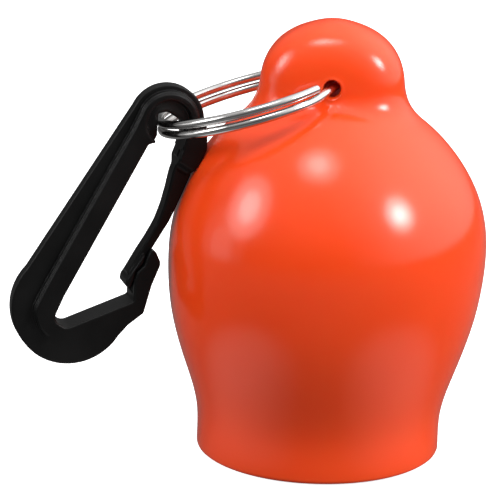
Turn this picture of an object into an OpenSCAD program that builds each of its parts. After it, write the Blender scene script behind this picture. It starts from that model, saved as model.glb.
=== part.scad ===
// Soft mouthpiece cover on a two-turn split ring with a moulded snap clip.
// Origin: centre of the open mouth, on the plane of its rim. +Z points up to the head.

/* [Cover] */
// Largest diameter of the bulb
bulb_d = 65; // [60:1:70]
// Height of the widest part of the bulb above the rim
bulb_z = 42; // [40:1:44]
// Outer diameter of the collar round the mouth
collar_d = 50.4; // [49:0.2:51]
// Thickness of the soft wall
wall = 2.4; // [2:0.1:2.8]
// Inner diameter of the mouth
mouth_d = 45.2; // [44:0.2:46]
// Straight depth of the mouth
mouth_depth = 12; // [10:1:13]
// Outline radius of the bulb below its widest part
lower_curve = 64; // [60:1:70]
// Outline radius of the bulb above its widest part
upper_curve = 34; // [33:0.5:35]

/* [Head] */
// Width of the head, seen along its hole
head_w = 29.2; // [28:0.2:31]
// Thickness of the head, along its hole
head_t = 21; // [20:0.5:22]
// Height of the middle of the head above the rim
head_z = 76; // [75:0.5:77]
// Radius of the hollow where the head meets the bulb
neck_fillet = 9; // [7:0.5:10]
// Height of the cross hole above the rim
hole_z = 77.4; // [76.5:0.1:78]
// Diameter of the cross hole at its throat
hole_d = 3; // [2.8:0.1:3.2]
// Diameter of the cross hole at its flared mouths
hole_mouth_d = 4.4; // [4.2:0.1:5]

/* [Split ring] */
// Outer diameter of the ring
ring_d = 40; // [39:0.5:41]
// Diameter of the wire
wire_d = 1.75; // [1.6:0.05:1.8]
// Distance between the middles of the two turns
turn_pitch = 2.05; // [2:0.05:2.2]
// Slope of the hanging ring below level
ring_tilt = 17; // [12:1:20]

/* [Clip] */
// Distance between the middles of the top and bottom rounds
clip_reach = 42; // [41:0.5:43]
// Radius of the round at the eye
eye_round = 7.9; // [7.6:0.1:8.2]
// Radius of the round at the hook
hook_round = 11.7; // [11.4:0.1:12]
// Depth of the rim and the hook
clip_depth = 7; // [6.4:0.2:7.4]
// Depth of the outer flange
flange_depth = 3; // [2.4:0.2:3.6]
// Depth of the flexing gate
gate_depth = 4; // [3.6:0.2:4.2]
// Lean of the spine away from upright
clip_lean = 33; // [32:1:34]
// Place of the clip round the ring, from its lowest point towards the front
clip_turn = 18; // [16:1:20]

/* [Hidden] */
$fn = 96;

rim_round = 1.2;
nipple_h = 0.8;
nipple_r = 2.2;
arc_steps = 14;
head_squareness = 2.6;
web_t = 11;
web_foot = 1.6;

wire_r = wire_d / 2;
ring_r = ring_d / 2 - wire_r;
wall_mid_y = (head_t - wall) / 2;
ring_offset = sqrt(ring_r * ring_r - wall_mid_y * wall_mid_y);
hole_turn = 180 - asin(wall_mid_y / ring_r);
pair_rise = 0.35;
cross_turn = 22;
front_end_turn = 138;
rear_end_turn = 133;
turn_step = 5;
wire_sides = 12;

eye_at = ring_point(clip_turn, pair_rise);
round_r = 0.5;
gate_play = 0.15;
tongue_play = 0.2;

// Clip outline, in the clip's own plane: X across it, Y along its spine, zero between the ring's turns
eye_c = [-0.3, 1.7];
hook_c = [3.4, eye_c[1] - clip_reach];
spine_x = eye_c[0] - eye_round;
hook_x = hook_c[0] - hook_round;
hinge_c = [7.9, -5.2];
hinge_r = 1.6;

// A point of a circle, or a list of them along an arc
function polar(c, r, a) = [c[0] + r * cos(a), c[1] + r * sin(a)];
function arc(c, r, from, to, steps = arc_steps) =
    [for (i = [0:steps]) polar(c, r, from + (to - from) * i / steps)];

// ---- Cover ----

// Outline of the bulb on one side of its axis, set in by t from the outside
function lower_angle(z, t) = asin((z - bulb_z) / (lower_curve - t));
function top_angle(t) = acos((upper_curve - bulb_d / 2) / (upper_curve - t));
function bulb_outline(t, z) = concat(
    arc([bulb_d / 2 - lower_curve, bulb_z], lower_curve - t, lower_angle(z, t), 0),
    arc([bulb_d / 2 - upper_curve, bulb_z], upper_curve - t, 0, top_angle(t)));

module outer_body() {
    collar_r = collar_d / 2;
    rim_arc = arc([collar_r - rim_round - 0.2, rim_round], rim_round, -90, 0, 6);
    rotate_extrude()
        polygon(concat([[0, 0]], rim_arc, [[collar_r, 11]], bulb_outline(0, 13.5)));
}

module inner_body() {
    rotate_extrude()
        polygon(concat([[0, mouth_depth - 1]], bulb_outline(wall, mouth_depth + 1)));
    translate([0, 0, -1]) cylinder(d = mouth_d, h = mouth_depth + 2);
}

// Flattened round knob, turned about the axis of the cross hole
module knob(r, half_t) {
    power = 2 / head_squareness;
    rim = [for (i = [-arc_steps:arc_steps]) let (a = 90 * i / arc_steps)
        [r * pow(cos(a), power), sign(a) * half_t * pow(abs(sin(a)), power)]];
    translate([0, 0, head_z]) rotate([90, 0, 0]) rotate_extrude() polygon(rim);
}

// Web on each side that sweeps from the bulb up to the head
module neck() {
    side = head_w / 2;
    bulb_c = [bulb_d / 2 - upper_curve, bulb_z];
    fillet_x = side + neck_fillet;
    rise = sqrt(pow(upper_curve + neck_fillet, 2) - pow(fillet_x - bulb_c[0], 2));
    fillet_c = [fillet_x, bulb_c[1] + rise];
    foot_angle = 180 + atan2(rise, fillet_x - bulb_c[0]);
    sweep = arc(fillet_c, neck_fillet, foot_angle, 180);
    foot_z = sweep[0][1] - web_foot;
    intersection() {
        rotate_extrude()
            polygon(concat([[0, foot_z], [sweep[0][0], foot_z]], sweep, [[0, fillet_c[1]]]));
        translate([-bulb_d / 2, -web_t / 2, 0]) cube([bulb_d, web_t, fillet_c[1] + 1]);
    }
}

// One wall of the cross hole, flared both ways so that the wire can turn in it
module wall_hole() {
    flare = wall / 2 + 0.3;
    for (side = [-1, 1])
        rotate([90 * side, 0, 0])
            cylinder(d1 = hole_d, d2 = hole_d + (hole_mouth_d - hole_d) * flare * 2 / wall, h = flare);
}

module cover() {
    color("orangered")
    difference() {
        union() {
            outer_body();
            neck();
            knob(head_w / 2, head_t / 2);
            translate([0, 0, head_z + head_w / 2 - 0.4]) cylinder(r1 = nipple_r, r2 = 0.5, h = nipple_h);
        }
        inner_body();
        knob(head_w / 2 - wall, head_t / 2 - wall);
        for (side = [-1, 1])
            translate([0, side * wall_mid_y, hole_z]) wall_hole();
    }
}

// ---- Split ring ----

// A point round the ring, from its far side at 0; rise is its height over the plane through the hole
function flat_point(a, r) = [-ring_offset - r * cos(a), -r * sin(a)];
function ring_place(p, rise) = [
    p[0] * cos(ring_tilt) - rise * sin(ring_tilt),
    p[1],
    hole_z + p[0] * sin(ring_tilt) + rise * cos(ring_tilt)];
function ring_point(a, rise) = ring_place(flat_point(a, ring_r), rise);

// Height of the wire d degrees away from the middle of the head: level in the hole, then up or down
function smooth(x) = let (t = min(max(x, 0), 1)) t * t * (3 - 2 * t);
function wire_rise(d) =
    (pair_rise - sign(d) * turn_pitch / 2) * smooth((abs(d) - (180 - hole_turn)) / cross_turn);

module split_ring() {
    total = front_end_turn + 360 + rear_end_turn;
    stations = ceil(total / turn_step);
    rings = [for (i = [0:stations])
        let (turned = total * i / stations, a = front_end_turn - turned,
             rise = wire_rise(turned - front_end_turn - 180))
        [for (k = [0:wire_sides - 1]) let (b = 360 * k / wire_sides)
            ring_place(flat_point(a, ring_r + wire_r * cos(b)), rise + wire_r * sin(b))]];
    function at(i, k) = i * wire_sides + k % wire_sides;
    sides = [for (i = [0:stations - 1], k = [0:wire_sides - 1])
        [at(i, k), at(i, k + 1), at(i + 1, k + 1), at(i + 1, k)]];
    first_cap = [for (k = [0:wire_sides - 1]) at(0, wire_sides - 1 - k)];
    last_cap = [for (k = [0:wire_sides - 1]) at(stations, k)];
    color("silver")
        polyhedron([for (r = rings, p = r) p], concat([first_cap, last_cap], sides), convexity = 8);
}

// ---- Clip ----

module place_clip() {
    translate(eye_at) rotate([90, 0, clip_turn]) rotate([0, 0, -clip_lean]) children();
}

module slab(depth) {
    translate([0, 0, -depth / 2]) linear_extrude(depth) children();
}

module rounded(r) {
    offset(r, $fn = 24) offset(-2 * r, $fn = 24) offset(r, $fn = 24) children();
}

// Bar and hook nose beyond the bottom round
module hook_outline() {
    polygon([hook_c + [0, -4], [13.8, -32.8], [12.4, -30.8], [11.9, -28.8], [11.9, -25.4],
        [10.9, -23], [11.4, -21.6], [13.2, -22.3], [14.5, -24.6], [15.3, -28], [16.8, -33.2],
        [16.4, -35.2], [15.5, -37], hook_c + [hook_round, 0], hook_c + [0, -8]]);
}

module frame_outline() {
    translate(eye_c) circle(eye_round);
    translate(hook_c) circle(hook_round);
    polygon([[spine_x, eye_c[1]], [hook_x, hook_c[1]], hook_c, eye_c]);
    polygon([eye_c, [6.9, 4.9], [9.2, 0.5], [9.5, hinge_c[1]], [6.3, hinge_c[1]], [4.9, -1]]);
    hook_outline();
}

// The opening: eye slot beside its nub, then the space between spine and gate
module opening() {
    polygon([[-2.8, 2.3], [-1.3, 3.6], [1.9, 3.6], [4.4, 1.4], [4.9, -2], [6.3, -6], [8, -9], [14, -14],
        [14, -22.6], [11, -23], [11.9, -25.4], [11.9, -28.8], [12.4, -30.8], [13.8, -32.8],
        [5.2, -44.2], [3.4, -44.6], [1.8, -43.4], [1.2, -41], [-1.8, -4.4], [-0.9, -3.7], [-0.8, -1.9]]);
}

module pierced(r) {
    rounded(r) difference() {
        children();
        opening();
    }
}

// Full-depth rim that runs round the opening, inside the thinner outer flange
module rim_outline() {
    intersection() {
        frame_outline();
        union() {
            translate(eye_c) circle(6);
            polygon([[eye_c[0] - 6, eye_c[1]], [-5.3, -9.4], [-2.9, -42], [3.4, -42], eye_c]);
            translate([3.6, -41]) circle(6.5);
            polygon([[3.6, -47.5], [9, -56], [20, -50], [20, -20], [9, -20], [9, -36], [3.4, -42]]);
            polygon([eye_c, [5, 6.5], [11, 0.5], [11, -8], [4, -8]]);
        }
    }
}

// Slot in the nose that takes the tongue of the gate
module tongue_slot() {
    slab(gate_depth + 2 * tongue_play)
        polygon([[9, -20], [12.2, -20], [13, -24], [13.6, -31], [9, -31]]);
}

module clip_frame() {
    color("dimgray")
    place_clip()
    difference() {
        union() {
            slab(flange_depth) pierced(round_r) frame_outline();
            slab(clip_depth) pierced(round_r) rim_outline();
        }
        for (face = [-1, 1])
            translate([0, 0, face * (clip_depth / 2)]) slab(clip_depth - flange_depth - 1)
                intersection() {
                    translate(eye_c) circle(4.4);
                    translate([-6, -4.4]) square([9, 11]);
                }
        tongue_slot();
        translate([hinge_c[0], hinge_c[1], -clip_depth]) cylinder(r = hinge_r + gate_play, h = 2 * clip_depth);
    }
}

module clip_gate() {
    color("dimgray")
    place_clip() {
        slab(gate_depth) {
            translate(hinge_c) circle(hinge_r);
            rounded(0.4) polygon([[6.5, -6], [7.9, -9.8], [8.6, -13.2], [9.3, -16.6], [9.2, -20.4], [8.8, -24],
                [8.8, -28], [11.4, -29], [12.2, -24], [11, -19.5], [11, -15.5], [10.4, -12], [9.9, -8.5],
                [9.4, -5.6]]);
        }
        slab(clip_depth - 0.6)
            rounded(0.5) polygon([[9.1, -24], [8.6, -29.4], [9.2, -30.7], [11.2, -30.7], [11.6, -29],
                [11.5, -25.4], [10.6, -23.4]]);
    }
}

cover();
split_ring();
clip_frame();
clip_gate();
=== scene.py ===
"""Visual model of a soft mouthpiece cover with its split ring and snap clip.

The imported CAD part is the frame. Shapes are in millimetres, in the part's own axes: Z is up, the
ring and the clip hang on the -X side, and the camera stands at -Y. The studio is in metres.
"""
import math

import bmesh
import bpy
import numpy as np
from mathutils import Matrix, Vector


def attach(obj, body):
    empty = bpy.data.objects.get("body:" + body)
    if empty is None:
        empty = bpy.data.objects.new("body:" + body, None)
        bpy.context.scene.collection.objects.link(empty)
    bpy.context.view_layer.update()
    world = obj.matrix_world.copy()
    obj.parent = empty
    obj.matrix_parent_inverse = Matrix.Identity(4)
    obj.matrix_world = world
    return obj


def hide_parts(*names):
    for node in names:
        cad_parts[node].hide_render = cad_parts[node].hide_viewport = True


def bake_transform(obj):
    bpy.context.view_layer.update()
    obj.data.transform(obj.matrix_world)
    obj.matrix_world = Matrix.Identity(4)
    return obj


MM = 0.001
TINY = 1e-6          # keeps powers and divisions away from zero
NO_LENGTH = 1e-12    # a shorter side of an outline is skipped
FAR_OFF = 1e9
CORNER_SHARE = 0.48  # a rounded corner takes less than half of each side
SETTLE_STEP = 0.01   # for the slope of a field
LEAST_SLOPE2 = 0.05  # a flatter field counts as this steep, squared

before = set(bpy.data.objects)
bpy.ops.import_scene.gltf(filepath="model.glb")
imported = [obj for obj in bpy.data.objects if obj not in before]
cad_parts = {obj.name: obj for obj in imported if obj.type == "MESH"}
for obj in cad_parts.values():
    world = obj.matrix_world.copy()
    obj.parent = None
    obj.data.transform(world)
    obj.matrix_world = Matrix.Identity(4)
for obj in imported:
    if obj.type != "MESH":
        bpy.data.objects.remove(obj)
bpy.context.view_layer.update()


# ---------------------------------------------------------------- helpers

def smooth_step(x):
    """Runs from 0 to 1 as x does, level at both ends."""
    t = np.clip(x, 0.0, 1.0)
    return t * t * (3 - 2 * t)


def smooth_min(a, b, k):
    """Union of two distance fields with a fillet about k wide."""
    h = np.maximum(k - np.abs(a - b), 0.0) / k
    return np.minimum(a, b) - h * h * k / 4


def smooth_max(a, b, k):
    """What two distance fields share, with an edge rounded about k wide."""
    return -smooth_min(-a, -b, k)


def rounded(corners, steps=7):
    """Closed outline whose corners (x, y, radius) are rounded off; (x, y) stays sharp."""
    made = []
    for i, corner in enumerate(corners):
        p = np.array(corner[:2], float)
        if len(corner) == 2:
            made.append(p)
            continue
        before = np.array(corners[i - 1][:2], float) - p
        after = np.array(corners[(i + 1) % len(corners)][:2], float) - p
        la, lb = np.linalg.norm(before), np.linalg.norm(after)
        before, after = before / la, after / lb
        half = math.acos(max(-1.0, min(1.0, float(before @ after)))) / 2
        cut = min(corner[2] / math.tan(half), CORNER_SHARE * la, CORNER_SHARE * lb)
        enter, leave = p + before * cut, p + after * cut
        for t in np.linspace(0, 1, steps):
            made.append((1 - t) ** 2 * enter + 2 * t * (1 - t) * p + t * t * leave)
    return np.array(made)


def outline_distance(x, y, outline):
    """Signed distance to a closed outline, negative inside."""
    best = np.full(np.broadcast(x, y).shape, FAR_OFF)
    inside = np.zeros(best.shape, bool)
    for (ax, ay), (bx, by) in zip(outline, np.roll(outline, -1, axis=0)):
        ex, ey = bx - ax, by - ay
        length2 = ex * ex + ey * ey
        if length2 < NO_LENGTH:
            continue
        wx, wy = x - ax, y - ay
        t = np.clip((wx * ex + wy * ey) / length2, 0.0, 1.0)
        best = np.minimum(best, (wx - ex * t) ** 2 + (wy - ey * t) ** 2)
        if abs(ey) > NO_LENGTH:
            crossing = ((ay > y) != (by > y)) & (wx < ex * wy / ey)
            inside ^= crossing
    return np.where(inside, -1.0, 1.0) * np.sqrt(best)


def slab(flat, w, half_depth, edge):
    """A flat outline's distance drawn out to a slab with rounded edges."""
    qx, qy = flat + edge, np.abs(w) - half_depth + edge
    outside = np.sqrt(np.maximum(qx, 0) ** 2 + np.maximum(qy, 0) ** 2)
    return outside + np.minimum(np.maximum(qx, qy), 0) - edge


def surface_net(field, origin, step):
    """Quads round the space where field is negative.

    Each cell that the surface crosses gets one point, the mean of its edges' crossings.
    """
    inside = field < 0
    cells = tuple(n - 1 for n in field.shape)
    total = np.zeros(cells + (3,))
    count = np.zeros(cells)

    def at(array, offset):
        return array[tuple(slice(o, o + n) for o, n in zip(offset, cells))]

    for axis in range(3):
        others = [a for a in range(3) if a != axis]
        for p in (0, 1):
            for q in (0, 1):
                low = [0, 0, 0]
                low[others[0]], low[others[1]] = p, q
                high = list(low)
                high[axis] = 1
                a, b = at(field, low), at(field, high)
                crossed = at(inside, low) != at(inside, high)
                share = np.where(crossed, a / np.where(crossed, a - b, 1.0), 0.0)
                count += crossed
                total[..., axis] += share
                total[..., others[0]] += crossed * p
                total[..., others[1]] += crossed * q
    used = count > 0
    ids = np.full(cells, -1)
    ids[used] = np.arange(used.sum())
    corner = np.argwhere(used)
    points = np.array(origin) + step * (corner + total[used] / count[used][:, None])
    faces = []
    for axis in range(3):
        solid, cell = np.moveaxis(inside, axis, 0), np.moveaxis(ids, axis, 0)
        low, high = solid[:-1, 1:-1, 1:-1], solid[1:, 1:-1, 1:-1]
        i, j, k = np.nonzero(low != high)
        quads = np.stack([cell[i, j, k], cell[i, j + 1, k],
                          cell[i, j + 1, k + 1], cell[i, j, k + 1]], 1)
        # With the middle axis in front the axes are left-handed, so the quads turn the other way
        turn = ~low[i, j, k] if axis != 1 else low[i, j, k]
        quads[turn] = quads[turn][:, ::-1]
        faces.append(quads)
    return points, np.concatenate(faces)


def differences(field, points, h):
    """The field's difference across each point, over 2 h along each axis."""
    return np.stack([
        field(*(points + h * d).T) - field(*(points - h * d).T) for d in np.eye(3)], 1)


def settle(points, field, rounds, reach):
    """Moves points along the field's slope onto its zero surface, by at most reach in all."""
    start = points.copy()
    for _ in range(rounds):
        value = field(*points.T)
        slope = differences(field, points, SETTLE_STEP) / (2 * SETTLE_STEP)
        size2 = np.maximum((slope ** 2).sum(1), LEAST_SLOPE2)
        points = points - (value / size2)[:, None] * slope
        moved = points - start
        far = np.maximum(np.linalg.norm(moved, axis=1) / reach, 1.0)
        points = start + moved / far[:, None]
    return points


def bridge(loops, flip=False):
    """Quads between neighbouring closed loops of vertex numbers."""
    quads = []
    for near, far in zip(loops, loops[1:]):
        for k in range(len(near)):
            m = (k + 1) % len(near)
            quad = (near[k], near[m], far[m], far[k])
            quads.append(quad[::-1] if flip else quad)
    return quads


def mesh_object(name, points, faces, material):
    mesh = bpy.data.meshes.new(name)
    corners = (np.asarray(points) * MM).tolist()
    mesh.from_pydata(corners, [], [list(map(int, face)) for face in faces])
    mesh.update()
    mesh.polygons.foreach_set("use_smooth", [True] * len(mesh.polygons))
    mesh.materials.append(material)
    made = bpy.data.objects.new(name, mesh)
    bpy.context.scene.collection.objects.link(made)
    return made


# ---------------------------------------------------------------- materials

def new_material(name, sockets):
    """A material with its shader, whose constants are given by the names of their sockets."""
    material = bpy.data.materials.new(name)
    material.use_nodes = True
    nodes, links = material.node_tree.nodes, material.node_tree.links
    shader = nodes["Principled BSDF"]
    for socket, value in sockets.items():
        shader.inputs[socket].default_value = value
    return material, nodes, links, shader


def ramp(nodes, stops):
    """A colour ramp from (position, colour) stops."""
    node = nodes.new("ShaderNodeValToRGB")
    elements = node.color_ramp.elements
    while len(elements) < len(stops):
        elements.new(0.5)
    for element, (position, colour) in zip(elements, stops):
        element.position = position
        element.color = (*colour, 1.0)
    return node


def greys(*stops):
    return [(position, (value, value, value)) for position, value in stops]


def noise(nodes, links, scale, detail, source):
    node = nodes.new("ShaderNodeTexNoise")
    node.inputs["Scale"].default_value = scale
    node.inputs["Detail"].default_value = detail
    links.new(source, node.inputs["Vector"])
    return node.outputs["Fac"]


def surface_material(name, cloud, tint, gloss, grain, relief, sockets):
    """Colour and roughness follow one soft noise, and a second noise makes a faint bump.

    cloud and grain are a noise's (scale, detail), tint and gloss are stops of a ramp, and relief
    is the bump's (strength, distance).
    """
    material, nodes, links, shader = new_material(name, sockets)
    place = nodes.new("ShaderNodeTexCoord").outputs["Object"]
    soft = noise(nodes, links, *cloud, place)
    for stops, socket in ((tint, "Base Color"), (gloss, "Roughness")):
        mapped = ramp(nodes, stops)
        links.new(soft, mapped.inputs["Fac"])
        links.new(mapped.outputs["Color"], shader.inputs[socket])
    bump = nodes.new("ShaderNodeBump")
    bump.inputs["Strength"].default_value, bump.inputs["Distance"].default_value = relief
    links.new(noise(nodes, links, *grain, place), bump.inputs["Height"])
    links.new(bump.outputs["Normal"], shader.inputs["Normal"])
    return material


def pvc_material():
    return surface_material(
        "orange_pvc", cloud=(28.0, 3.0),
        tint=[(0.35, (0.90, 0.062, 0.008)), (0.65, (0.94, 0.070, 0.010))],
        gloss=greys((0.3, 0.16), (0.7, 0.20)), grain=(90.0, 1.0), relief=(0.10, 0.0006),
        sockets={"IOR": 1.5, "Specular IOR Level": 0.5, "Subsurface Weight": 0.25,
                 "Subsurface Radius": (1.0, 0.22, 0.08), "Subsurface Scale": 0.004})


def steel_material():
    return surface_material(
        "ring_steel", cloud=(350.0, 2.0),
        tint=[(0.3, (0.54, 0.53, 0.52)), (0.7, (0.62, 0.61, 0.60))],
        gloss=greys((0.3, 0.10), (0.7, 0.18)), grain=(1500.0, 2.0), relief=(0.05, 0.0001),
        sockets={"Metallic": 1.0})


def plastic_material():
    return surface_material(
        "black_plastic", cloud=(120.0, 3.0), tint=greys((0.3, 0.0018), (0.7, 0.0032)),
        gloss=greys((0.3, 0.36), (0.7, 0.46)), grain=(2600.0, 2.0), relief=(0.18, 0.0001),
        sockets={"Specular IOR Level": 0.20})


# ---------------------------------------------------------------- cover

WALL = 2.4
RIM_EDGE = 1.0         # height of the skins' lowest row; the rim closes them below it
HOLE_Z = 77.4
ROUND = 144            # points in a row round the cover

# The head is a squarish egg: half sizes along X, Y and Z, and the height of its middle
HEAD_R = 14.6
HEAD_HALF_T = 10.5
HEAD_UP = 13.2
HEAD_Z = 76.0
HEAD_ROUND = 2.22      # power of its outline seen along Y; 2 is an ellipse
HEAD_POWER = 2.9       # power from that outline to its front and back
NECK_FILLET = 2.6      # in front and at the back; twice that at the sides

# Rows of points on the bulb, neck and head, and the radius where meridians leave the bulb
BULB_ROWS, NECK_ROWS, HEAD_ROWS = 74, 15, 34
LEAVE_SIDE, LEAVE_FRONT = 21.0, 14.5
SKIN_ROUNDS, SKIN_REACH = 7, 6.0
NORMAL_STEP = 0.02

# Control points of the bulb's outline (radius, height), from below the rim to past the axis
BULB_CURVE = np.array([
    (23.4, -12.2), (25.7, -2.1), (24.6, 8.5), (28.2, 18.4), (31.45, 28.5), (32.65, 39.0),
    (32.35, 49.2), (28.3, 59.4), (21.7, 67.9), (12.7, 73.7), (2.4, 76.3), (-8.2, 75.3),
    (-17.8, 70.6)])
BULB_POINTS = 170
UNDERGROUND = -30.0  # the outline is closed below the floor


def b_spline(control, count):
    """Points along a uniform cubic B-spline."""
    spans = len(control) - 3
    x = np.linspace(0, spans, count)
    k = np.minimum(x.astype(int), spans - 1)
    t = (x - k)[:, None]
    return ((1 - t) ** 3 * control[k] + (3 * t ** 3 - 6 * t ** 2 + 4) * control[k + 1]
            + (-3 * t ** 3 + 3 * t ** 2 + 3 * t + 1) * control[k + 2] + t ** 3 * control[k + 3]) / 6


bulb_line = b_spline(BULB_CURVE, BULB_POINTS)
bulb_outline = np.vstack([
    bulb_line, [(bulb_line[-1][0], UNDERGROUND), (bulb_line[0][0], UNDERGROUND)]])


def head_distance(x, y, z):
    across = np.abs(x / HEAD_R) ** HEAD_ROUND
    up = np.abs((z - HEAD_Z) / HEAD_UP) ** HEAD_ROUND
    rho = (across + up) ** (1 / HEAD_ROUND) + TINY
    t = np.abs(y) / HEAD_HALF_T + TINY
    g = rho ** HEAD_POWER + t ** HEAD_POWER
    unit = g ** (1 / HEAD_POWER)
    slope = g ** (1 / HEAD_POWER - 1)
    size = np.hypot(slope * rho ** (HEAD_POWER - 1) / HEAD_UP,
                    slope * t ** (HEAD_POWER - 1) / HEAD_HALF_T)
    return (unit - 1) / size


def cover_distance(x, y, z):
    bulb = outline_distance(np.hypot(x, y), z, bulb_outline)
    side = x * x / (x * x + y * y + TINY)
    return smooth_min(bulb, head_distance(x, y, z), NECK_FILLET + NECK_FILLET * side)


def along(points, count):
    """Even spacing along a polyline."""
    points = np.asarray(points, float)
    s = np.concatenate([[0], np.cumsum(np.linalg.norm(np.diff(points, axis=0), axis=1))])
    u = np.linspace(0, s[-1], count)
    return np.stack([np.interp(u, s, points[:, k]) for k in (0, 1)], 1)


def head_line(half):
    """From the head's waist to its top, on one side. It is a start, and settle() does the rest."""
    power = 2 / HEAD_POWER if half < HEAD_R else 1.0
    a = np.radians(np.linspace(1, 90, 60))
    return np.stack([half * np.cos(a) ** power, HEAD_Z + HEAD_UP * np.sin(a) ** power], 1)


def guide(last_radius, half):
    """One meridian: up the bulb to a radius, across the hollow, and over the head."""
    base = bulb_line[(bulb_line[:, 1] > RIM_EDGE) & (bulb_line[:, 0] > last_radius)]
    base = np.vstack([[(base[0][0], RIM_EDGE)], base])
    neck_end = (half + 0.1, HEAD_Z + 0.2)
    return np.vstack([along(base, BULB_ROWS), along([base[-1], neck_end], NECK_ROWS)[1:],
                      along(head_line(half), HEAD_ROWS)[1:]])


def cover_shell():
    """The outer skin: rows of ROUND points, one point on top, and their faces."""
    side_line, front_line = guide(LEAVE_SIDE, HEAD_R), guide(LEAVE_FRONT, HEAD_HALF_T)
    rows = len(side_line) - 1
    angle = np.linspace(0, 2 * math.pi, ROUND, endpoint=False)
    c, s = np.cos(angle), np.sin(angle)
    start = np.vstack([np.stack([ra * c, rb * s, za * c * c + zb * s * s], 1)
                       for (ra, za), (rb, zb) in zip(side_line[:-1], front_line[:-1])])
    skin = settle(start, cover_distance, SKIN_ROUNDS, SKIN_REACH)
    skin[:ROUND, 2] = start[:ROUND, 2]
    apex = rows * ROUND
    loops = np.arange(apex).reshape(rows, ROUND).tolist()
    faces = bridge(loops)
    faces += [(loops[-1][j], loops[-1][(j + 1) % ROUND], apex) for j in range(ROUND)]
    return np.vstack([skin, [(0, 0, HEAD_Z + HEAD_UP)]]), faces


# Cross hole: (radius, height over the outer skin), from the outside in to the inner skin
HOLE_LINE = [
    (3.3, 0.0), (2.85, 0.0), (2.5, 0.03), (2.28, 0.10), (2.14, 0.15), (2.02, 0.13), (1.93, 0.05),
    (1.86, -0.08), (1.77, -0.35), (1.68, -0.75), (1.64, -1.2), (1.68, -1.65), (1.79, -2.05),
    (1.96, -2.32), (2.2, -2.4), (2.7, -2.4)]
HOLE_CUT = 4.0         # faces that reach within this radius make way for it
HEAD_WALL_Y = 6        # the head's front and back walls are further out than this
EVEN_AFTER = 3         # loops of the hole until its points are evenly spaced
SKIN_Y_ROUNDS = 12

# Rim: (radius over the outer skin, height), round under the flat foot to the inner skin
RIM_LINE = [(0.0, 0.62), (-0.12, 0.3), (-0.38, 0.08), (-0.75, 0.0), (-1.9, 0.0), (-2.15, 0.05),
            (-2.32, 0.2), (-2.4, 0.5)]

# Nipple and small dent on top of the head
TOP_Z = 80
NIPPLE_UP, NIPPLE_SPREAD = 0.60, 3.2
DENT_DEEP, DENT_X, DENT_Y = 0.16, 0.6, -5.4
DENT_SPREAD_X, DENT_SPREAD_Y = 5.0, 1.6

# The rim isn't quite level: its lift at X = 0, the X where that doubles, the height where it fades
LIFT, LIFT_X, LIFT_FADE = 0.25, 25, 5

# The soft cover isn't quite upright: (shift in X, height where it starts, height it takes)
LEAN_OUT = (0.85, 20, 36)
LEAN_BACK = (0.5, 54, 16)
LEAN_FOOT = 0.35


def lean(z):
    """Shift in X: the rim stands a little to -X, the bulb's upper half to +X, the head at 0."""
    def part(shift, start, length):
        return shift * smooth_step((z - start) / length)
    return part(*LEAN_OUT) - part(*LEAN_BACK) - LEAN_FOOT


def skin_y(x, z, side):
    """The outer skin's y at a place on the front or back of the head."""
    y = np.full(len(x), side * HEAD_HALF_T)
    for _ in range(SKIN_Y_ROUNDS):
        y = y - side * cover_distance(x, y, z)
    return y


def cover_mesh():
    """Outer and inner skin, joined through the cross hole and round the rim."""
    outer, faces = cover_shell()
    normal = differences(cover_distance, outer, NORMAL_STEP)
    normal = normal / np.linalg.norm(normal, axis=1)[:, None]
    normal[-1] = (0, 0, 1)
    inner = outer - WALL * normal
    inner[:ROUND, 2] = RIM_EDGE
    count = len(outer)
    points = [outer, inner]

    def add(loop):
        first = sum(map(len, points))
        points.append(loop)
        return list(range(first, first + len(loop)))

    near_hole = np.hypot(outer[:, 0], outer[:, 2] - HOLE_Z) < HOLE_CUT
    near_hole &= np.abs(outer[:, 1]) > HEAD_WALL_Y
    keep, gone = [], {-1: [], 1: []}
    for face in faces:
        if near_hole[list(face)].any():
            gone[1 if outer[face[0]][1] > 0 else -1].append(face)
        else:
            keep.append(face)
    made = keep + [tuple(v + count for v in reversed(face)) for face in keep]

    for side in (-1, 1):
        edges = {edge for face in gone[side] for edge in zip(face, face[1:] + face[:1])}
        border = [a for a, b in edges if (b, a) not in edges]
        spin = {v: math.atan2(outer[v][2] - HOLE_Z, outer[v][0]) for v in border}
        border.sort(key=spin.get)
        own = np.array([spin[v] for v in border])
        even = own[0] + 2 * math.pi * np.arange(len(border)) / len(border)
        even += np.mean(own - even)
        loops = [border]
        for step, (radius, height) in enumerate(HOLE_LINE):
            mix = min(1.0, step / EVEN_AFTER)
            a = own * (1 - mix) + even * mix
            x, z = radius * np.cos(a), HOLE_Z + radius * np.sin(a)
            y = skin_y(x, z, side) + side * height
            loops.append(add(np.stack([x, y, z], 1)))
        loops.append([v + count for v in border])
        made += bridge(loops, flip=side > 0)

    foot = outer[:ROUND, :2]
    out = foot / np.linalg.norm(foot, axis=1)[:, None]
    loops = [list(range(ROUND))]
    for over, height in RIM_LINE:
        loops.append(add(np.column_stack([foot + out * over, np.full(ROUND, height)])))
    loops.append([v + count for v in range(ROUND)])
    made += bridge(loops, flip=True)

    points = np.vstack(points)
    x, y, z = points.T
    nipple = NIPPLE_UP * np.exp(-(x * x + y * y) / (2 * NIPPLE_SPREAD ** 2)) * (z > TOP_Z)
    dent = DENT_DEEP * np.exp(-((x - DENT_X) ** 2 / DENT_SPREAD_X
                                + (y - DENT_Y) ** 2 / DENT_SPREAD_Y)) * (z > TOP_Z)
    lift = LIFT * (1 + x / LIFT_X) * np.exp(-z / LIFT_FADE)
    points[:, 2] += nipple - dent + lift
    points[:, 0] += lean(points[:, 2])
    used = np.unique(np.concatenate([np.array(face) for face in made]))
    new_id = np.full(len(points), -1)
    new_id[used] = np.arange(len(used))
    return points[used], [tuple(new_id[v] for v in face) for face in made]


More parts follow.
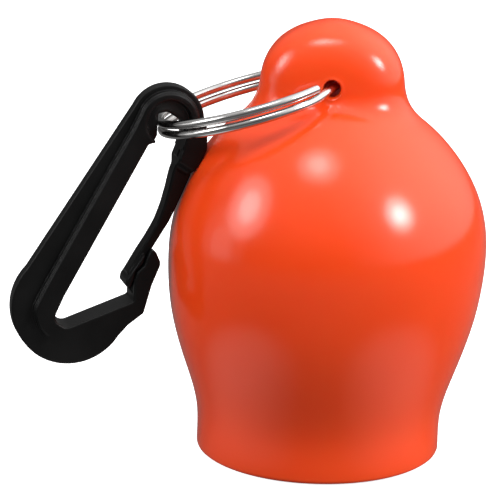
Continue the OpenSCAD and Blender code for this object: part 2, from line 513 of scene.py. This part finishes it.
# ---------------------------------------------------------------- split ring

WIRE_R = 0.875
RING_R = 20 - WIRE_R
TURN_PITCH = 2.05      # between the two turns of wire
RING_TILT = math.radians(17)
PAIR_RISE = 0.35       # of the pair of turns over the plane through the hole
WIRE_SIDES = 28
WIRE_STEP = 1.5        # degrees between stations along the wire
WIRE_END = [(0.0, 0.70), (0.12, 0.86), (0.4, 0.97)]  # rounded end: (degrees, share of the radius)

# Degrees of the ring: where the wire's ends lie, and how long it takes to change turns
FRONT_END = 138
REAR_END = 133
CROSS_TURN = 22

# The wire passes through the middle of both walls of the head
HOLE_Y = (2 * HEAD_HALF_T - WALL) / 2
RING_OFFSET = math.sqrt(RING_R ** 2 - HOLE_Y ** 2)
HOLE_TURN = 180 - math.degrees(math.asin(HOLE_Y / RING_R))


def ring_place(turn, radius, rise):
    """A point of the ring: degrees from its far side, radius, height over its own plane."""
    a = math.radians(turn)
    flat = (-RING_OFFSET - radius * math.cos(a), -radius * math.sin(a))
    return (flat[0] * math.cos(RING_TILT) - rise * math.sin(RING_TILT), flat[1],
            HOLE_Z + flat[0] * math.sin(RING_TILT) + rise * math.cos(RING_TILT))


def wire_rise(d):
    """The wire's rise, d degrees along it from the middle of its change of turns."""
    t = float(smooth_step((abs(d) - (180 - HOLE_TURN)) / CROSS_TURN))
    return (PAIR_RISE - math.copysign(TURN_PITCH / 2, d)) * t


def ring_mesh():
    total = FRONT_END + 360 + REAR_END
    stations = list(WIRE_END)
    stations += [(turned, 1.0) for turned in np.arange(1.0, total - 0.9, WIRE_STEP)]
    stations += [(total - turned, share) for turned, share in reversed(WIRE_END)]
    points = []
    for turned, share in stations:
        rise = wire_rise(turned - FRONT_END - 180)
        r = WIRE_R * share
        for k in range(WIRE_SIDES):
            b = 2 * math.pi * k / WIRE_SIDES
            points.append(ring_place(
                FRONT_END - turned, RING_R + r * math.cos(b), rise + r * math.sin(b)))
    loops = np.arange(len(points)).reshape(-1, WIRE_SIDES).tolist()
    return np.array(points), [tuple(loops[0][::-1]), tuple(loops[-1])] + bridge(loops)


# ---------------------------------------------------------------- clip

# The clip's own axes: u across, v along it from the eye, w out of its plane towards the camera
CLIP_LEAN = math.radians(33)
EYE_TURN = 18          # degrees from the ring's far side to the eye
CLIP_TURN = math.radians(EYE_TURN)
EYE_AT = np.array(ring_place(EYE_TURN, RING_R, PAIR_RISE))
CLIP_OUT = np.array([math.sin(CLIP_TURN), -math.cos(CLIP_TURN), 0.0])
CLIP_SIDE = np.array([math.cos(CLIP_TURN), math.sin(CLIP_TURN), 0.0])
CLIP_UP = np.array([0, 0, 1.0])

# Round ends, as centre and radius
EYE_C = (-0.3, 1.7)
EYE_ROUND = 7.5
EYE_RIDGE = 6.0
HOOK_C = (3.4, -40.3)
HOOK_ROUND = 11.7

# Half depths along w, the steps between them and the rounding of edges
HALF_DEPTH = 3.5
HALF_FLANGE = 1.5
HALF_GATE = 2.0
EDGE = 0.35
FINE_EDGE = 0.1
STEP_WIDE, STEP_DOWN, STEP_EDGE = 0.32, 0.75, 0.15
ROOT_DOWN, ROOT_FROM, ROOT_LENGTH = 1.5, 3.4, 1.8
THROUGH = 9.0          # cuts right through the clip

# The outer band is flush right of and below these places: (place, length it takes)
FLUSH_U = (-3.5, 7)
FLUSH_V = (-37, 5)

# Recess round the eye, left of RECESS_U: its radius, lower end, depth and rounded edges
RECESS_R, RECESS_V, RECESS_DEEP, RECESS_U = 4.4, -3.7, 1.5, 3.4
RECESS_CORNER, RECESS_FLOOR_EDGE, RECESS_LIP = 0.8, 0.3, 0.9

# The gate's tongue and the slot round it
TONGUE_IN, TONGUE_EDGE = 0.3, 0.4
SLOT_GAP, SLOT_LIP = 0.2, 0.25

# Grids that hold the two mouldings, lowest and highest corner, and how their meshes are cleaned
CLIP_GRID = ((-9.0, -52.8, -4.1), (18.0, 10.4, 4.2))
GATE_GRID = ((4.8, -31.6, -4.1), (12.4, -1.4, 4.2))
CLIP_ROUNDS = 2
WELD = 0.02
SLIVER = 0.005


def clip_place(points):
    """The clip's own axes to the part's."""
    u, v, w = np.asarray(points).T
    c, s = math.cos(CLIP_LEAN), math.sin(CLIP_LEAN)
    level, up = c * u + s * v, -s * u + c * v
    return EYE_AT + level[:, None] * CLIP_SIDE + up[:, None] * CLIP_UP + w[:, None] * CLIP_OUT


# Outlines in u and v
SPINE = rounded([(-7.75, 1.7), (-8.1, -40.3), (3.4, -40.3), (-0.3, 1.7)])
ROOT = rounded([
    (-0.3, 1.7), (5.6, 6.2), (7.4, 4.0, 3.0), (9.3, 1.2, 2.5), (9.6, -2.0, 3.0),
    (9.4, -6.2, 1.2), (6.3, -6.2, 1.0), (5.4, -3.4, 2.0), (4.9, -1.0)])
NOSE = rounded([
    (3.4, -44.3), (13.8, -32.7, 0.5), (12.5, -30.6, 1.5), (11.6, -28.8, 1.2),
    (11.1, -27.2, 1.0), (11.6, -25.2, 1.0), (11.1, -23.4, 1.2), (10.9, -21.5, 0.5),
    (12.2, -21.8, 1.2), (14.3, -23.2, 1.6), (15.2, -28.0, 6.0), (17.0, -33.7, 1.0),
    (15.6, -37.4, 1.6), (15.1, -40.3), (3.4, -48.3)])
OPENING = rounded([
    (-2.85, 2.0, 0.4), (-1.5, 3.25, 1.2), (1.8, 3.25, 2.0), (4.3, 1.2, 2.0), (4.9, -2.0, 2.0),
    (5.9, -6.0, 1.0), (7.6, -9.0), (14.0, -14.0), (14.0, -20.8), (10.8, -20.8), (10.8, -23.4),
    (11.6, -25.2), (11.1, -27.2), (11.6, -28.8), (12.5, -30.6, 1.0), (13.8, -32.7, 0.8),
    (5.0, -44.3, 2.0), (1.7, -44.2, 2.2), (0.9, -39.0, 8.0), (-1.6, -4.2, 0.5),
    (-1.0, -3.5, 0.5), (-0.5, -3.2, 0.4), (-0.6, -1.8, 0.6)])
RIDGE = rounded([
    (-0.3, 1.7), (-6.3, 1.7), (-5.7, -3.2, 4.0), (-5.3, -9.4), (-4.2, -25.6),
    (-3.2, -39.8, 6.0), (-2.6, -44.6, 4.0), (0.6, -47.3, 4.0), (5.0, -47.8), (8.0, -56.0),
    (22.0, -50.0), (22.0, -18.0), (9.0, -18.0), (9.0, -38.0), (3.4, -42.0)])
TONGUE_SLOT = rounded([(8.0, -19.5), (12.1, -19.5), (12.9, -23.5), (13.4, -31.4), (8.0, -31.4)])
ARM = rounded([
    (6.0, -2.2, 0.5), (5.6, -3.8, 2.0), (6.3, -6.6, 6.0), (7.5, -9.8, 12.0), (8.6, -13.2, 12.0),
    (9.4, -16.8, 12.0), (9.6, -20.4, 8.0), (9.6, -24.0), (9.8, -28.5), (10.7, -28.8),
    (11.4, -24.6, 2.0), (11.4, -21.0, 2.5), (11.3, -15.2, 7.0), (10.9, -12.0, 14.0),
    (10.35, -8.5, 14.0), (9.7, -4.8, 3.0), (9.3, -2.2, 0.5)])
TONGUE = rounded([
    (10.3, -23.6, 0.8), (10.2, -27.0, 3.0), (10.15, -29.7, 1.0), (10.6, -30.9, 0.7),
    (11.8, -30.9, 0.8), (11.4, -28.9, 0.8), (10.75, -27.2, 1.2), (11.25, -25.2, 1.0),
    (10.7, -23.6, 0.8)])


def step_depth(u, v):
    """Half depth of the outer band: a thin flange beside the spine, flush round the bottom."""
    to_right = smooth_step((u - FLUSH_U[0]) / FLUSH_U[1])
    below = smooth_step((FLUSH_V[0] - v) / FLUSH_V[1])
    return HALF_FLANGE + (HALF_DEPTH - HALF_FLANGE) * to_right * below


def frame_field(u, v, w):
    """The clip without its gate: a flange, two steps up to its ridge, and the gate's root."""
    eye = np.hypot(u - EYE_C[0], v - EYE_C[1])
    hook = np.hypot(u - HOOK_C[0], v - HOOK_C[1])
    body = np.minimum(
        np.minimum(eye - EYE_ROUND, hook - HOOK_ROUND),
        np.minimum(outline_distance(u, v, SPINE), outline_distance(u, v, NOSE)))
    hole = outline_distance(u, v, OPENING)
    ridge = np.minimum(eye - EYE_RIDGE, outline_distance(u, v, RIDGE))
    body = np.maximum(body, -hole)
    flange = slab(body, w, step_depth(u, v), EDGE)
    middle = slab(np.maximum(body, ridge - STEP_WIDE), w, HALF_DEPTH - STEP_DOWN, STEP_EDGE)
    rim = slab(np.maximum(body, ridge), w, HALF_DEPTH, EDGE)
    root_depth = HALF_DEPTH - ROOT_DOWN * smooth_step((-v - ROOT_FROM) / ROOT_LENGTH)
    root = slab(outline_distance(u, v, ROOT), w, root_depth, EDGE)
    root = np.maximum(root, -slab(hole, w, THROUGH, FINE_EDGE))
    made = np.minimum(np.minimum(flange, middle), np.minimum(rim, root))
    pocket = smooth_max(eye - RECESS_R, -(v - RECESS_V), RECESS_CORNER)
    recess = smooth_max(pocket, HALF_DEPTH - RECESS_DEEP - np.abs(w), RECESS_FLOOR_EDGE)
    made = smooth_max(made, -np.maximum(recess, u - RECESS_U), RECESS_LIP)
    slot = slab(outline_distance(u, v, TONGUE_SLOT), w, HALF_GATE + SLOT_GAP, FINE_EDGE)
    return smooth_max(made, -slot, SLOT_LIP)


def gate_field(u, v, w):
    """The gate: a flat arm with a wider tongue across its end."""
    arm = slab(outline_distance(u, v, ARM), w, HALF_GATE, EDGE)
    tongue = slab(outline_distance(u, v, TONGUE), w, HALF_DEPTH - TONGUE_IN, TONGUE_EDGE)
    return smooth_min(arm, tongue, TONGUE_EDGE)


def clip_piece(name, field, grid, step, material):
    """A moulding from its distance field, welded so that no zero-area faces stay."""
    low, high = grid
    u, v, w = (np.arange(a, b, step) for a, b in zip(low, high))
    values = field(u[:, None, None], v[None, :, None], w[None, None, :])
    points, faces = surface_net(np.asarray(values, float), low, step)
    points = settle(points, field, CLIP_ROUNDS, step)
    made = mesh_object(name, clip_place(points), faces, material)
    work = bmesh.new()
    work.from_mesh(made.data)
    bmesh.ops.remove_doubles(work, verts=work.verts, dist=WELD * MM)
    bmesh.ops.dissolve_degenerate(work, edges=work.edges, dist=SLIVER * MM)
    work.to_mesh(made.data)
    work.free()
    return made


# ---------------------------------------------------------------- build

pvc, steel, plastic = pvc_material(), steel_material(), plastic_material()

cover = mesh_object("cover_skin", *cover_mesh(), pvc)
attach(cover, "cover")
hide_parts("cover")

ring = mesh_object("ring_wire", *ring_mesh(), steel)
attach(ring, "ring")
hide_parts("split_ring")

VOXEL = 0.2
clip = clip_piece("clip_moulding", frame_field, CLIP_GRID, VOXEL, plastic)
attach(clip, "clip")
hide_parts("clip_frame")

gate = clip_piece("gate_arm", gate_field, GATE_GRID, VOXEL, plastic)
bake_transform(gate)
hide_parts("clip_gate")


# ---------------------------------------------------------------- studio

FLOOR_HALF = 6
LIGHT_POOL_AT = (0.048, -0.040, 0)     # the right one of two painted pools of light on the floor
BRIGHT_SIDE = (0.90, 0.06, 0.43)  # towards the bright wall


def floor_material():
    """White to the camera. Reflections see a floor that glows with painted light: darker, with two
    painted pools of light in front.
    """
    material, nodes, links, shader = new_material("floor", {
        "Base Color": (0.85, 0.85, 0.85, 1), "Roughness": 0.9, "Specular IOR Level": 0.0,
        "Emission Color": (1, 1, 1, 1), "Emission Strength": 0.80})
    place = nodes.new("ShaderNodeSeparateXYZ")
    links.new(nodes.new("ShaderNodeTexCoord").outputs["Object"], place.inputs[0])
    beside = nodes.new("ShaderNodeMath")
    beside.operation = "ABSOLUTE"
    links.new(place.outputs["X"], beside.inputs[0])
    mirrored = nodes.new("ShaderNodeCombineXYZ")
    links.new(beside.outputs[0], mirrored.inputs["X"])
    links.new(place.outputs["Y"], mirrored.inputs["Y"])
    away = nodes.new("ShaderNodeVectorMath")
    away.operation = "DISTANCE"
    away.inputs[1].default_value = LIGHT_POOL_AT
    links.new(mirrored.outputs[0], away.inputs[0])
    # Painted light: the floor's glow in reflections, bright pools where the softboxes would light
    # it, dim elsewhere
    tint = ramp(nodes, greys((0.0, 0.80), (0.018, 0.70), (0.040, 0.14), (0.12, 0.22), (0.5, 0.16),
                             (1.0, 0.10)))
    links.new(away.outputs["Value"], tint.inputs["Fac"])
    # The floor glows in reflections although it is no lamp; this glow is painted light
    painted_floor_glow = nodes.new("ShaderNodeEmission")
    links.new(tint.outputs["Color"], painted_floor_glow.inputs["Color"])
    either = nodes.new("ShaderNodeMixShader")
    seen = nodes.new("ShaderNodeLightPath")
    links.new(seen.outputs["Is Camera Ray"], either.inputs[0])
    links.new(painted_floor_glow.outputs[0], either.inputs[1])
    links.new(shader.outputs[0], either.inputs[2])
    links.new(either.outputs[0], nodes["Material Output"].inputs["Surface"])
    return material


def studio_world():
    """A room that gets brighter upwards, with a bright wall on the right."""
    world = bpy.data.worlds.new("studio")
    world.use_nodes = True
    nodes, links = world.node_tree.nodes, world.node_tree.links
    direction = nodes.new("ShaderNodeTexCoord").outputs["Generated"]
    height = nodes.new("ShaderNodeSeparateXYZ")
    links.new(direction, height.inputs[0])
    sky = ramp(nodes, greys((0.0, 0.05), (0.3, 0.18), (0.65, 0.50), (1.0, 0.92)))
    links.new(height.outputs["Z"], sky.inputs["Fac"])
    sideways = nodes.new("ShaderNodeVectorMath")
    sideways.operation = "DOT_PRODUCT"
    sideways.inputs[1].default_value = BRIGHT_SIDE
    links.new(direction, sideways.inputs[0])
    wall = ramp(nodes, greys((0.2, 0.0), (0.55, 0.40), (0.8, 1.1), (1.0, 1.8)))
    links.new(sideways.outputs["Value"], wall.inputs["Fac"])
    both = nodes.new("ShaderNodeVectorMath")
    both.operation = "ADD"
    links.new(sky.outputs["Color"], both.inputs[0])
    links.new(wall.outputs["Color"], both.inputs[1])
    links.new(both.outputs["Vector"], nodes["Background"].inputs["Color"])
    nodes["Background"].inputs["Strength"].default_value = 1.0
    return world


# A softbox's discs: name, share of its power, share of its width
SOFTBOX_DISCS = (("core", 0.45, 0.5), ("edge", 0.55, 1.0))


def softbox(name, place, size, power, target=(0, 0, 0.045)):
    """A round diffused light, size across: a bright middle in a wider, dimmer disc."""
    for disc, power_share, width_share in SOFTBOX_DISCS:
        light = bpy.data.lights.new(name + "_" + disc, "AREA")
        light.shape = "DISK"
        light.size = size * width_share
        light.energy = power * power_share
        made = bpy.data.objects.new(name + "_" + disc, light)
        made.location = place
        made.rotation_euler = (Vector(target) - Vector(place)).to_track_quat("-Z", "Y").to_euler()
        bpy.context.scene.collection.objects.link(made)


floor_mesh = bpy.data.meshes.new("floor")
floor_corners = [(-1, -1), (1, -1), (1, 1), (-1, 1)]
floor_mesh.from_pydata([(x * FLOOR_HALF, y * FLOOR_HALF, 0) for x, y in floor_corners],
                       [], [(0, 1, 2, 3)])
floor_mesh.materials.append(floor_material())
floor = bpy.data.objects.new("floor", floor_mesh)
bpy.context.scene.collection.objects.link(floor)

bpy.context.scene.world = studio_world()

softbox("left_box", (-0.61, -0.24, 0.38), 0.44, 2.4)
softbox("right_box", (0.50, -0.30, 0.385), 0.25, 2.3)
softbox("top_box", (-0.10, -0.29, 0.82), 0.40, 1.9)
softbox("left_panel", (-0.62, -0.10, 0.07), 0.45, 0.35)

bpy.context.scene.view_settings.view_transform = "Standard"

# ---------------------------------------------------------------- camera

TARGET = Vector((0, 0, 0.040))
DISTANCE = 0.460
PITCH = math.radians(15.2)
ROLL = math.radians(2.2)
NEAR = 0.01
# On the sensor, in millimetres: its width, the lens, and where the target falls beside its middle
SENSOR = 36
LENS = 161.28
TARGET_RIGHT, TARGET_DOWN = 5.436, 0.6696

camera_place = TARGET + DISTANCE * Vector((0, -math.cos(PITCH), math.sin(PITCH)))
forward = (TARGET - camera_place).normalized()
right = Vector((1, 0, 0))
up = right.cross(forward)
c, s = math.cos(ROLL), math.sin(ROLL)
image_right, image_up = c * right + s * up, -s * right + c * up
aim = forward - image_right * (TARGET_RIGHT / LENS) + image_up * (TARGET_DOWN / LENS)
aim = aim.normalized()
image_right = (image_right - aim * image_right.dot(aim)).normalized()
image_up = image_right.cross(aim)
camera_data = bpy.data.cameras.new("camera")
camera_data.sensor_width = SENSOR
camera_data.lens = LENS
camera_data.clip_start = NEAR
camera = bpy.data.objects.new("camera", camera_data)
turn = Matrix((image_right, image_up, -aim)).transposed().to_4x4()
camera.matrix_world = Matrix.Translation(camera_place) @ turn
bpy.context.scene.collection.objects.link(camera)
bpy.context.scene.camera = camera
